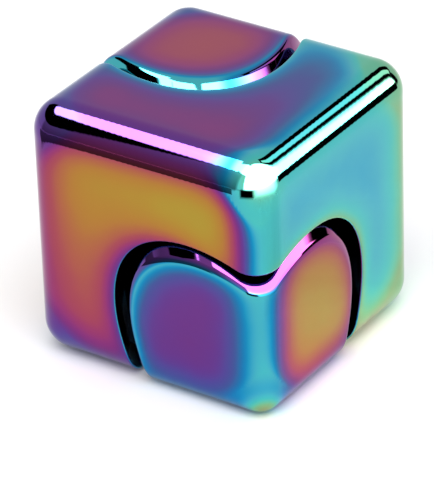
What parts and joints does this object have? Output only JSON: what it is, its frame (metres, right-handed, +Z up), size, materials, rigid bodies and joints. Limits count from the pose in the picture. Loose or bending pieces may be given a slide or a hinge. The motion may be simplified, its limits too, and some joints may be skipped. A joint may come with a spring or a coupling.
{
  "type": "cube spinner",
  "caption": "Pull-apart metal cube spinner: two opposite corners turn on a shaft and ball bearing through the cube's body diagonal.",
  "frame": {"origin": "centre of the square footprint, on the plane that the cube stands on", "axes": "+Z up; the cube's edges lie along X, Y and Z; the spin axis runs from the (-X, -Y, -Z) corner to the (+X, +Y, +Z) corner"},
  "size_m": [0.0254, 0.0254, 0.0254],
  "materials": {
    "plated_body": "mirror-polished zinc alloy with rainbow plating",
    "plated_corner": "mirror-polished zinc alloy with rainbow plating",
    "plated_ring": "flat turned face with rainbow plating",
    "bearing_steel": "ground and polished bearing steel",
    "cage_steel": "pressed sheet steel",
    "snap_ring_rubber": "matt black nitrile rubber"
  },
  "bodies": {
    "hub": {"cube_body": "plated_body", "bearing_retaining_ring": "plated_ring", "bearing_outer_ring": "bearing_steel", "bearing_shield_stem_side": "bearing_steel", "bearing_shield_socket_side": "bearing_steel"},
    "spindle": {"bearing_inner_ring": "bearing_steel"},
    "ball_set": {"bearing_cage": "cage_steel", "bearing_ball_1": "bearing_steel", "bearing_ball_2": "bearing_steel", "bearing_ball_3": "bearing_steel", "bearing_ball_4": "bearing_steel", "bearing_ball_5": "bearing_steel", "bearing_ball_6": "bearing_steel", "bearing_ball_7": "bearing_steel", "bearing_ball_8": "bearing_steel", "bearing_ball_9": "bearing_steel", "bearing_ball_10": "bearing_steel"},
    "stem_side": {"stem_corner": "plated_corner", "centre_shaft": "plated_corner"},
    "socket_side": {"socket_corner": "plated_corner", "snap_ring": "snap_ring_rubber"}
  },
  "joints": [
    {"name": "spin", "type": "hinge", "parent": "hub", "child": "spindle", "pos_m": [0, 0, 0.0127], "axis": [0.5774, 0.5774, 0.5774], "continuous": true},
    {"name": "ball_orbit", "type": "hinge", "parent": "hub", "child": "ball_set", "pos_m": [0, 0, 0.0127], "axis": [0.5774, 0.5774, 0.5774], "continuous": true},
    {"name": "stem_pull", "type": "slide", "parent": "spindle", "child": "stem_side", "axis": [-0.5774, -0.5774, -0.5774], "range_m": [0, 0.016]},
    {"name": "socket_pull", "type": "slide", "parent": "spindle", "child": "socket_side", "axis": [0.5774, 0.5774, 0.5774], "range_m": [0, 0.01]}
  ],
  "couplings": [
    {"joint": "ball_orbit", "follows": "spin", "ratio": 0.41667}
  ]
}
